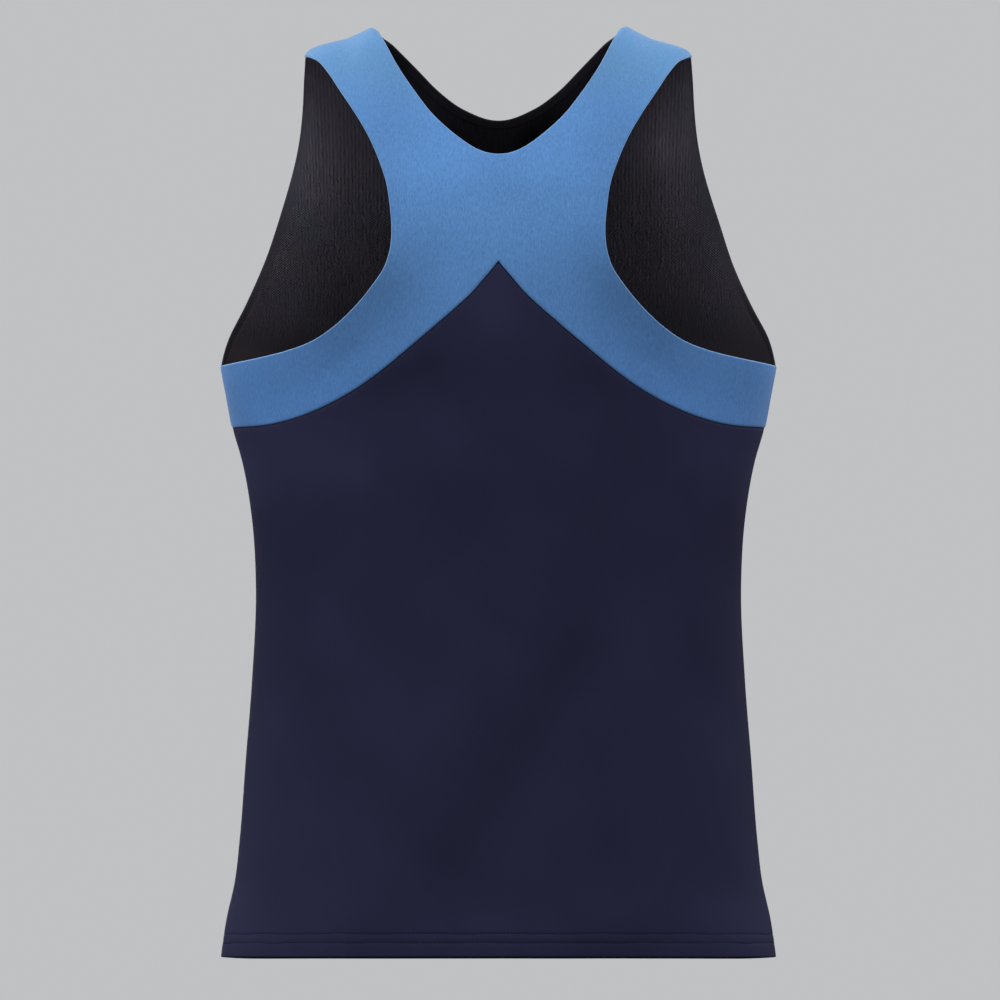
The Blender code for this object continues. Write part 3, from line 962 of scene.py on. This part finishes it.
def hem_stitches(side):
    """Both rows of short stitches on the outside of a hem."""
    reach = hem_round(side)[0][-1] - HEM_END
    starts = np.arange(-reach, reach - STITCH_LENGTH, STITCH_PITCH)
    share = np.linspace(0.0, 1.0, STITCH_SAMPLES)
    across = starts[:, None] + share * STITCH_LENGTH
    outs = -STITCH_GROOVE - STITCH_SUNK + STITCH_ARCH * np.sin(math.pi * share)
    groups = []
    for number, row in enumerate(STITCH_ROWS):
        places = hem_places(side, across, row + wobble(number, across))
        groups.append(tubes(*cloth_points(places, outs), THREAD, THREAD_SIDES))
    return joined(groups)


def hem_loops(side):
    """The looping thread behind both rows, which covers the turned-up edge."""
    reach = hem_round(side)[0][-1] - HEM_END
    starts = np.arange(-reach, reach - STITCH_PITCH, STITCH_PITCH)
    low, high = STITCH_ROWS[0] - LOOP_BELOW, STITCH_ROWS[1] + LOOP_ABOVE
    inner = PANEL_OUT - PANEL_THICK - HEM_THICK - 0.5 * THREAD
    share = np.linspace(0.0, 1.0, LOOP_SAMPLES)
    outs = inner + LOOP_DIP * np.abs(2 * share - 1) ** LOOP_FLATNESS
    groups = []
    for shift, first, last in ((0.0, low, high), (0.5, high, low)):
        across = starts[:, None] + (shift + 0.5 * share) * STITCH_PITCH
        places = hem_places(side, across, first + (last - first) * share)
        groups.append(tubes(*cloth_points(places, outs), LOOP_THREAD, FINE_SIDES))
    return joined(groups)


# Seam allowances: the strips of cloth inside along the seams, and their edge threads.
ALLOWANCE = 6.5 * MM
ALLOWANCE_PAST = 0.9 * MM       # how far a strip reaches under the seam's other side
ALLOWANCE_SHORT = 2.5 * MM      # how far a strip stops short of a free edge
ALLOWANCE_CLEAR = 1.0 * MM      # how far above the turned-up hem it starts
ALLOWANCE_BELOW = 0.2 * MM      # how far it starts below the yoke's seam
ALLOWANCE_GAP = 0.12 * MM       # how far in from the cloth it lies
ALLOWANCE_THICK = 1.0 * MM
ALLOWANCE_PITCH = 2.0 * MM
# A strip's section, as shares of its width and thickness.
#    out    thick
ALLOWANCE_SECTION = np.array((
    (0.0,   1.0),
    (0.2,   1.0),
    (0.4,   0.95),
    (0.6,   0.9),
    (0.8,   0.85),
    (0.93,  0.7),
    (1.0,   0.35),
))
OVERLOCK_WIDTH = 4.2 * MM
OVERLOCK_PITCH = 2.3 * MM
OVERLOCK_PAST = 0.1 * MM        # how far the threads reach past the strip
OVERLOCK_HIGH, OVERLOCK_DIP = 0.98, 0.55    # how high they lie, as shares of its thickness
OVERLOCK_SAMPLES = 6


def lean(places, direction, distance):
    """Places moved a real distance over the figure in a direction of theta and turn."""
    direction = np.broadcast_to(np.asarray(direction, float), places.shape)
    step = on_figure(places + PROBE * direction) - on_figure(places)
    rate = np.linalg.norm(step, axis=1) / PROBE
    return places + direction * (distance / rate)[:, None]


def allowance(path, direction, depth):
    """A strip of doubled cloth beside a seam, with its free edge rounded."""
    widths = ALLOWANCE * ALLOWANCE_SECTION[:, 0]
    widths[0] = -ALLOWANCE_PAST
    thick = ALLOWANCE_THICK * ALLOWANCE_SECTION[:, 1:]
    places = np.stack([lean(path, direction, width) for width in widths])
    top, _ = cloth_points(places, -depth - thick)
    under, _ = cloth_points(places, -depth)
    rings = np.concatenate((under, top[::-1])).swapaxes(0, 1)
    return rings.reshape(-1, 3), ring_faces(1, *rings.shape[:2])


def overlock(path, direction, depth):
    """Threads that run to and fro over a strip's free edge."""
    along = resample(path, 2 * max(2, int(length(path) / OVERLOCK_PITCH)))
    starts, ends = along[:-1], along[1:]
    returns = np.arange(len(starts)) % 2 > 0
    near, far = ALLOWANCE - OVERLOCK_WIDTH, ALLOWANCE + OVERLOCK_PAST
    found = []
    for t in np.linspace(0.0, 1.0, OVERLOCK_SAMPLES):
        over = np.where(returns, 1 - t, t)
        places = lean(starts + (ends - starts) * t, direction, near + (far - near) * over)
        lie = OVERLOCK_HIGH - OVERLOCK_DIP * over ** 3
        outs = -(depth + ALLOWANCE_THICK * lie + 0.4 * THREAD)
        found.append(cloth_points(places, outs))
    lines, normals = (np.stack(each, axis=1) for each in zip(*found))
    return tubes(lines, normals, EDGE_THREAD, FINE_SIDES)


def seam_paths():
    """Each inside seam: its name, its path, the way its allowance lies, and how deep it lies."""
    edge = np.array([QUARTER])
    top = at_height(BACK, edge, np.array([UNDERARM - ALLOWANCE_SHORT]))[0]
    foot = at_height(BACK, edge, hem_height(BACK, edge) + HEM_TURNED + ALLOWANCE_CLEAR)[0]
    side = np.linspace(top, foot, SIDE_SAMPLES)
    seam = yoke_seam()
    below = at_height(BACK, seam[:, 0], on_figure(seam)[:, 2] - ALLOWANCE_BELOW)
    shoulder = shoulder_seam(TURNING)
    inner = PANEL_THICK - PANEL_OUT + ALLOWANCE_GAP
    yoke_inner = YOKE_THICK - YOKE_OUT + ALLOWANCE_GAP
    return (
        ("side_left", side, (-1.0, 0.0), yoke_inner),
        ("side_right", side * FLIP, (1.0, 0.0), yoke_inner),
        ("yoke_left", below, (0.0, 1.0), inner),
        ("yoke_right", below * FLIP, (0.0, 1.0), inner),
        ("shoulder_left", shoulder, (0.0, 1.0), yoke_inner),
        ("shoulder_right", shoulder * FLIP, (0.0, 1.0), yoke_inner),
    )


class Number:
    """A number in a material, which arithmetic joins to others by math nodes."""

    def __init__(self, graph, socket):
        self.graph = graph
        self.socket = socket

    def __add__(self, other):
        return self.graph.math("ADD", self, other)

    def __sub__(self, other):
        return self.graph.math("SUBTRACT", self, other)

    def __mul__(self, other):
        return self.graph.math("MULTIPLY", self, other)


class Graph:
    """A material, with short ways to add shader nodes and to join them."""

    def __init__(self, name):
        self.material = bpy.data.materials.new(name)
        self.material.use_nodes = True
        self.tree = self.material.node_tree
        self.shader = self.tree.nodes["Principled BSDF"]

    def add(self, kind, inputs=None, **settings):
        node = self.tree.nodes.new(kind)
        for name, value in settings.items():
            setattr(node, name, value)
        for name, value in (inputs or {}).items():
            self.put(value, node.inputs[name])
        return node

    def put(self, value, socket):
        if isinstance(value, Number):
            value = value.socket
        if isinstance(value, bpy.types.NodeSocket):
            self.tree.links.new(value, socket)
        elif socket.type == "RGBA":
            socket.default_value = (*value[:3], 1.0)
        else:
            socket.default_value = value

    def math(self, operation, *values):
        node = self.add("ShaderNodeMath", dict(enumerate(values)), operation=operation)
        return Number(self, node.outputs[0])

    def spot(self):
        """The shaded point, in its piece's own space."""
        return self.add("ShaderNodeTexCoord").outputs["Object"]

    def parts(self, vector):
        split = self.add("ShaderNodeSeparateXYZ", {"Vector": vector})
        return [Number(self, split.outputs[axis]) for axis in "XYZ"]

    def tint(self, colour, factor):
        """A colour made lighter or darker by a factor."""
        scaled = self.add("ShaderNodeVectorMath", {0: colour, "Scale": factor}, operation="SCALE")
        return scaled.outputs["Vector"]

    def mixed(self, share, first, second):
        """A colour between two, by a share."""
        mix = self.add("ShaderNodeMix", data_type="RGBA")
        for socket, value in zip((0, 6, 7), (share, first, second)):
            self.put(value, mix.inputs[socket])
        return mix.outputs[2]

    def span(self, value, low, high, at_low, at_high, **settings):
        """Go from one number to another, evenly if not told otherwise, as a value does."""
        ends = {"Value": value, "From Min": low, "From Max": high, "To Min": at_low, "To Max": at_high}
        return Number(self, self.add("ShaderNodeMapRange", ends, **settings).outputs[0])

    def blend(self, share, first, second):
        """One shader over another, by a share."""
        return self.add("ShaderNodeMixShader", {0: share, 1: first, 2: second}).outputs[0]

    def bump(self, height, strength, distance):
        inputs = {"Height": height, "Strength": strength, "Distance": distance}
        normal = self.add("ShaderNodeBump", inputs).outputs["Normal"]
        self.put(normal, self.shader.inputs["Normal"])

    def finish(self, colour, roughness, sheen, sheen_roughness, sheen_tint, specular):
        self.put(colour, self.shader.inputs["Base Color"])
        for name, value in (("Roughness", roughness), ("Sheen Weight", sheen),
                            ("Sheen Roughness", sheen_roughness), ("Sheen Tint", (*sheen_tint, 1.0)),
                            ("Specular IOR Level", specular)):
            self.shader.inputs[name].default_value = value
        return self.material


# The noise in the cloth's colours, as cycles in a metre round it, down it and back.
#                   round    down    back  detail  warp
PATTERNS = {
    "flecks":      (1050.0,  320.0,  320.0,  3.0,  0.0),
    "fine_flecks": (2300.0,  900.0,  900.0,  1.0,  0.0),
    "soft":        (22.0,     17.0,    0.0,  2.0,  0.6),
    "sway":        (190.0,   210.0,    0.0,  2.0,  0.0),
    "breaks":      (330.0,   170.0,    0.0,  1.0,  0.0),
    "grain":       (1250.0,  620.0,    0.0,  1.0,  0.0),
    "streaks":     (520.0,   120.0,    0.0,  2.0,  0.0),
    "patches":     (34.0,     20.0,    0.0,  2.0,  0.8),
    "stray":       (60.0,    130.0,    0.0,  1.0,  0.0),
    "tints":       (17.0,     23.0,    0.0,  1.0,  0.4),
}
NOISE_ROUGHNESS = 0.55

# The outside of the knits.
WALE, COURSE = 0.62 * MM, 0.55 * MM   # a loop's width and height
LOOP_BUMP = (0.30, 0.10 * MM)         # strength and height of the relief
FLECK_RELIEF = 0.8                    # how much the flecks add to the loops
FINE_SHARE = 0.5                      # the fine flecks' strength beside the flecks'
# The light rim is a painted highlight along the free edges.
PAINTED_HIGHLIGHT_FULL = 0.35                       # share of a light rim's width that is fully light

# The inside of the navy knit.
RIB, MESH_COURSE = 2.6 * MM, 1.6 * MM
RIB_BUMP = (0.30, 0.12 * MM)
RELIEF, RELIEF_VARIES = 0.9, 1.6      # how strong the ribs are, and how much that varies
HIGH_RELIEF, NECK_RELIEF = -0.80, 0.42      # what the shoulders and the neck's sides add to it
BREAKS = 3.0                          # how much the ribs break up
DARKEST = -0.62                       # how much darker the relief makes the cloth at most
# The last is painted light: how much lighter the inside is high up towards the straps.
STREAKS, PATCHES, HIGH_PAINTED_LIGHT = 0.65, 0.10, 0.14
TURNED_STRAY = 3.2 * MM               # how far the turned edge's shade strays
CREST_AT = 1.15 * TURNING
INSIDE_TONE = 0.95
TINTS = 2.2                           # how far the colour goes between warm and cool

TWIST = 2600.0                        # the thread's twist, as cycles in a metre

# What changes along the cloth: from where to where, and its value at each end. The first are
# by height, then by how far in a point is from the nearest free edge (for the painted highlight
# on the crest, from CREST_AT), and the last by how far round.
#                    from            to              first    last
FADES = {
    "flecks":         (-50.0 * MM,  -18.0 * MM,    1.0,      0.70),
    "sway":           (-115.0 * MM, -75.0 * MM,    4.2 * MM, 1.8 * MM),
    "high":           (-115.0 * MM, -75.0 * MM,    0.0,      1.0),
    "steady":         (-115.0 * MM, -70.0 * MM,    0.16,     0.55),
    "mesh":           (-110.0 * MM, -75.0 * MM,    1.0,      0.15),
    "shoulder":       (-85.0 * MM,  -45.0 * MM,    1.0,      0.60),
    "low":            (-200.0 * MM, -140.0 * MM,   0.25,     1.0),
    "below_arm":      (-175.0 * MM, -150.0 * MM,   1.0,      0.0),
    "off_turning":    (0.8 * TURNING,  1.4 * TURNING,   0.15,   1.0),
    "mesh_at_edge":   (6.0 * MM,       30.0 * MM,       1.9,    0.7),
    "turned_darker":  (0.55 * TURNING, 1.05 * TURNING,  -0.34,  -0.05),
    "turned_ends":    (TURNING,        1.15 * TURNING,  1.0,    0.0),
    "painted_crest_highlight":          (0.2 * MM,       1.1 * MM,        0.40,   0.0),
    "beside_neck":    (60.0 * MM,      85.0 * MM,       0.0,    1.0),
}


class ClothGraph(Graph):
    """A cloth's material, with the cloth's own coordinates."""

    def __init__(self, name):
        super().__init__(name)
        knit = self.add("ShaderNodeAttribute", attribute_name="knit").outputs["Vector"]
        self.round, self.down, self.edge = self.parts(knit)
        # The painted light and shade that the panels carry, as a share lighter.
        tone = self.add("ShaderNodeAttribute", attribute_name="tone").outputs["Fac"]
        self.tone = Number(self, tone)

    def noise(self, pattern):
        """Noise centred on 0, from about -0.5 to 0.5."""
        round_scale, down_scale, back_scale, detail, warp = PATTERNS[pattern]
        inputs = {"X": self.round * round_scale, "Y": self.down * down_scale}
        if back_scale:
            inputs["Z"] = self.parts(self.spot())[1] * back_scale
        spot = self.add("ShaderNodeCombineXYZ", inputs)
        made = self.add("ShaderNodeTexNoise", {"Vector": spot.outputs[0], "Scale": 1.0, "Detail": detail,
                                               "Roughness": NOISE_ROUGHNESS, "Distortion": warp})
        return Number(self, made.outputs["Fac"]) - 0.5

    def fade(self, value, name):
        return self.span(value, *FADES[name])

    def wave(self, value, wavelength):
        return self.math("SINE", value * (2 * math.pi / wavelength))

    def loops(self):
        """Height of a knit's loops: each wale is a column of small slanting legs."""
        side = self.math("PINGPONG", self.round * (1 / WALE), 0.5) * 2.0
        climb = self.down * (1 / COURSE) + side * 0.5
        leg = self.math("SINE", self.math("FRACT", climb) * math.pi)
        column = self.math("SUBTRACT", 1.0, side * side)
        return leg * (column * 0.6) + column * 0.4


def smooth_knit(name, colour, fleck, patches, roughness, sheen, sheen_tint, specular, painted_light_hues=(), rim=None):
    """The outside of a fine knit: small upright flecks, soft patches, and tiny loops."""
    graph = ClothGraph(name)
    flecks = graph.noise("flecks")
    tone = flecks * fleck + graph.noise("fine_flecks") * (FINE_SHARE * fleck)
    tone = tone * graph.fade(graph.down, "flecks")
    tone = tone + graph.noise("soft") * patches + 1.0
    # Painted sheen and shade: the colour goes towards other hues with height.
    for start, end, other in painted_light_hues:
        colour = graph.mixed(graph.span(graph.down, start, end, 0.0, 1.0), colour, other)
    # The painted light and shade scales the colour here.
    shade = graph.tint(colour, tone * (graph.tone + 1.0))
    # A painted highlight: a lighter rim along the free edges, where the rolled edges catch the light.
    if rim:
        bright, reach = rim
        shade = graph.mixed(graph.span(graph.edge, PAINTED_HIGHLIGHT_FULL * reach, reach, 1.0, 0.0), shade, bright)
    graph.bump(graph.loops() + flecks * FLECK_RELIEF, *LOOP_BUMP)
    return graph.finish(shade, roughness, sheen, 0.35, sheen_tint, specular)


def ribbed_inside(name, warm, cool):
    """The inside of the navy knit: a dull charcoal with broken upright ribs over a fine mesh."""
    graph = ClothGraph(name)
    down, edge = graph.down, graph.edge
    ribs = graph.wave(graph.round + graph.noise("sway") * graph.fade(down, "sway"), RIB)
    patches = graph.noise("patches")
    strong = (patches * RELIEF_VARIES + RELIEF) * graph.fade(down, "low")
    # The ribs are softer at the shoulders, and softer still at the neck.
    high = graph.fade(down, "high")
    beside_neck = graph.fade(graph.math("ABSOLUTE", graph.round), "beside_neck")
    soft = high * (beside_neck * NECK_RELIEF + HIGH_RELIEF) + 1.0
    fine = strong * graph.fade(down, "shoulder") * soft * graph.fade(edge, "off_turning")
    dashes = ribs * (graph.noise("breaks") * BREAKS + graph.fade(down, "steady"))
    mesh = ribs * graph.wave(down, MESH_COURSE)
    mesh = mesh * graph.fade(edge, "mesh_at_edge") * graph.fade(down, "mesh")
    relief = graph.math("MAXIMUM", (dashes + mesh + graph.noise("grain")) * fine, DARKEST)
    tone = relief + graph.noise("streaks") * STREAKS * strong
    # Painted light: the inside is lighter high up towards the straps.
    tone = tone + patches * PATCHES + high * beside_neck * HIGH_PAINTED_LIGHT
    # Below the arm the turned-in edge is darker than the cloth beside it, with a painted highlight along
    # its crest.
    below_arm = graph.fade(down, "below_arm")
    edge = edge + graph.noise("stray") * TURNED_STRAY
    turned = graph.fade(edge, "turned_darker") * below_arm * graph.fade(edge, "turned_ends")
    painted_crest_highlight = graph.fade(graph.math("ABSOLUTE", edge - CREST_AT), "painted_crest_highlight") * below_arm
    tone = tone + turned + (painted_crest_highlight + INSIDE_TONE)
    colour = graph.mixed(graph.noise("tints") * TINTS + 0.5, warm, cool)
    # The painted light and shade scales the colour here.
    shade = graph.tint(colour, tone * (graph.tone + 1.0))
    graph.bump(ribs * fine, *RIB_BUMP)
    return graph.finish(shade, 0.85, 0.0, 0.45, (0.75, 0.70, 0.75), 0.02)


def sewing_thread(name, colour):
    """A dull thread with a fine twist."""
    graph = Graph(name)
    inputs = {"Vector": graph.spot(), "Scale": TWIST, "Detail": 1.0}
    twist = Number(graph, graph.add("ShaderNodeTexNoise", inputs).outputs["Fac"])
    graph.bump(twist, 0.4, 0.05 * MM)
    return graph.finish(graph.tint(colour, twist * 0.7 + 0.65), 0.70, 0.0, 0.4, (0.8, 0.8, 0.9), 0.05)


SKY = (0.080, 0.200, 0.436)
# A painted highlight: the sky knit's colour in a narrow rim along its free edges.
SKY_PAINTED_HIGHLIGHT = (0.175, 0.318, 0.550)
SKY_PAINTED_HIGHLIGHT_WIDTH = 0.55 * MM
# Painted sheen and shade in the sky knit's hue, by height: the strap tops a little greyer, as
# the top light's sheen makes them, and the lower band darker and bluer, as in shade.
#     from         to            colour
SKY_PAINTED_HUES = (
    (-50.0 * MM,   -18.0 * MM,   (0.0840, 0.2010, 0.386)),
    (-150.0 * MM,  -230.0 * MM,  (0.0745, 0.1910, 0.447)),
)
NAVY = (0.0173, 0.0179, 0.0425)
WARM_CHARCOAL = (0.0370, 0.0305, 0.0365)
COOL_CHARCOAL = (0.0310, 0.0310, 0.0400)
NAVY_THREAD = (0.0050, 0.0050, 0.0110)


def build_cloth():
    """Make the materials, the three panels and the sewing."""
    sky = smooth_knit("sky_knit_cloth", SKY, fleck=0.66, patches=0.12, roughness=0.70, sheen=0.09,
                      sheen_tint=(0.90, 0.95, 1.0), specular=0.08, painted_light_hues=SKY_PAINTED_HUES,
                      rim=(SKY_PAINTED_HIGHLIGHT, SKY_PAINTED_HIGHLIGHT_WIDTH))
    navy = smooth_knit("navy_knit_cloth", NAVY, fleck=0.16, patches=0.20, roughness=0.80, sheen=0.004,
                       sheen_tint=(0.70, 0.72, 1.0), specular=0.02)
    charcoal = ribbed_inside("navy_knit_inside", WARM_CHARCOAL, COOL_CHARCOAL)
    thread = sewing_thread("navy_thread", NAVY_THREAD)

    yoke = panel("yoke_cloth", BACK, yoke_outline(), YOKE_SPACING, YOKE_OUT, YOKE_THICK,
                 "sky_knit", [sky])
    back = panel("back_cloth", BACK, back_outline(), BACK_SPACING, PANEL_OUT, PANEL_THICK,
                 "navy_knit", [navy, charcoal])
    front = panel("front_cloth", FRONT, front_outline(), FRONT_SPACING, PANEL_OUT, PANEL_THICK,
                  "navy_knit", [navy, charcoal])
    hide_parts("back_yoke")
    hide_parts("back_panel")
    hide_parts("front_panel")

    with_back, with_front = [], []
    for side, word, found in ((BACK, "back", with_back), (FRONT, "front", with_front)):
        found.append(add_mesh("hem_stitches_" + word, *hem_stitches(side), "navy_knit", [thread]))
        found.append(add_mesh("hem_loops_" + word, *hem_loops(side), "navy_knit", [thread]))
    for name, path, direction, depth in seam_paths():
        even = resample(path, max(2, round(length(path) / ALLOWANCE_PITCH)))
        strip = allowance(even, direction, depth)
        with_back.append(add_mesh("allowance_" + name, *strip, "navy_knit", [charcoal]))
        edging = overlock(path, direction, depth)
        with_back.append(add_mesh("overlock_" + name, *edging, "navy_knit", [thread]))


FLOOR_HEIGHT = -0.85
FLOOR_RADIUS, FLOOR_FADE = 4.0, 1.6     # it fades out from one to the other
FLOOR_SIDES = 96
PALE = (0.80, 0.81, 0.83)
FLOOR = (0.50, 0.505, 0.515)  # the floor as it is seen
DULL = (0.08, 0.08, 0.08)     # what the floor throws back onto the cloth


def floor():
    """A plain pale floor whose rim fades out."""
    turn = np.arange(FLOOR_SIDES) * 2 * math.pi / FLOOR_SIDES
    x, y = FLOOR_RADIUS * np.cos(turn), FLOOR_RADIUS * np.sin(turn)
    data = bpy.data.meshes.new("floor")
    points = np.stack((x, y, np.full(FLOOR_SIDES, FLOOR_HEIGHT)), axis=-1)
    data.from_pydata(points.tolist(), [], [list(range(FLOOR_SIDES))])
    graph = Graph("pale_floor")
    graph.finish(FLOOR, 0.9, 0.0, 0.5, (1.0, 1.0, 1.0), 0.1)
    x, y, _ = graph.parts(graph.spot())
    away = graph.math("SQRT", x * x + y * y)
    fade = graph.span(away, FLOOR_FADE, FLOOR_RADIUS, 0.0, 1.0, interpolation_type="SMOOTHSTEP")
    clear = graph.add("ShaderNodeBsdfTransparent").outputs[0]
    dull = graph.add("ShaderNodeBsdfDiffuse", {"Color": DULL}).outputs[0]
    seen = graph.add("ShaderNodeLightPath").outputs["Is Camera Ray"]
    surface = graph.blend(seen, dull, graph.shader.outputs[0])
    under = graph.add("ShaderNodeNewGeometry").outputs["Backfacing"]
    surface = graph.blend(under, graph.blend(fade, surface, clear), clear)
    graph.put(surface, graph.tree.nodes["Material Output"].inputs["Surface"])
    data.materials.append(graph.material)
    piece = add_object("floor", data)


LIGHT_TARGET = Vector((0.0, 0.0, -0.30))
LIGHT_SIZE = 1.2
# Lights: where each stands, in metres, and its power in watts.
#     name           x      y      z     power
LIGHTS = (
    ("high_left",    1.75,  0.90,  1.37, 35.4),
    ("high_right",  -1.72,  1.00,  1.37, 33.0),
    ("top",          0.03,  0.36,  2.26, 27.0),
    ("low",          0.30,  2.52, -0.62, 22.9),
    ("side_left",    2.54,  0.45,  0.06, 16.9),
    ("side_right",  -2.54,  0.45,  0.06, 14.5),
    ("front_left",   1.45, -1.75,  1.00, 38.0),
    ("front_right", -1.55, -1.65,  0.80, 30.0),
    ("front_low",    0.20, -2.50, -0.50, 16.0),
)
BACKDROP = 0.66               # how bright the pale backdrop looks
AMBIENT = 0.14                # how much light it gives


def lights():
    for name, *spot, power in LIGHTS:
        lamp = bpy.data.lights.new(name, "AREA")
        lamp.shape = "DISK"
        lamp.size = LIGHT_SIZE
        lamp.energy = power
        light = add_object(name, lamp)
        light.location = spot
        light.rotation_euler = (LIGHT_TARGET - Vector(spot)).to_track_quat("-Z", "Y").to_euler()


def backdrop():
    """A plain pale surround that gives only a little light."""
    world = bpy.data.worlds.new("studio")
    world.use_nodes = True
    tree = world.node_tree
    seen = tree.nodes["Background"]
    given = tree.nodes.new("ShaderNodeBackground")
    for node, strength in ((seen, BACKDROP), (given, AMBIENT)):
        node.inputs["Color"].default_value = (*PALE, 1.0)
        node.inputs["Strength"].default_value = strength
    path = tree.nodes.new("ShaderNodeLightPath")
    mix = tree.nodes.new("ShaderNodeMixShader")
    tree.links.new(path.outputs["Is Camera Ray"], mix.inputs[0])
    tree.links.new(given.outputs[0], mix.inputs[1])
    tree.links.new(seen.outputs[0], mix.inputs[2])
    tree.links.new(mix.outputs[0], tree.nodes["World Output"].inputs["Surface"])
    bpy.context.scene.world = world
    bpy.context.scene.view_settings.view_transform = "Standard"


# The photograph looks at the back, level, from far away.
CAMERA_PLACE = (-0.97 * MM, 6.0, -295.5 * MM)
FRAME_WIDTH = 0.645           # metres across the picture, at the origin
SENSOR_WIDTH = 36.0


def camera():
    eye = bpy.data.cameras.new("photo_camera")
    eye.sensor_width = SENSOR_WIDTH
    eye.lens = SENSOR_WIDTH * CAMERA_PLACE[1] / FRAME_WIDTH
    viewer = add_object("photo_camera", eye)
    viewer.location = CAMERA_PLACE
    viewer.rotation_euler = (QUARTER, 0.0, math.pi)
    bpy.context.scene.camera = viewer


build_cloth()
floor()
lights()
backdrop()
camera()
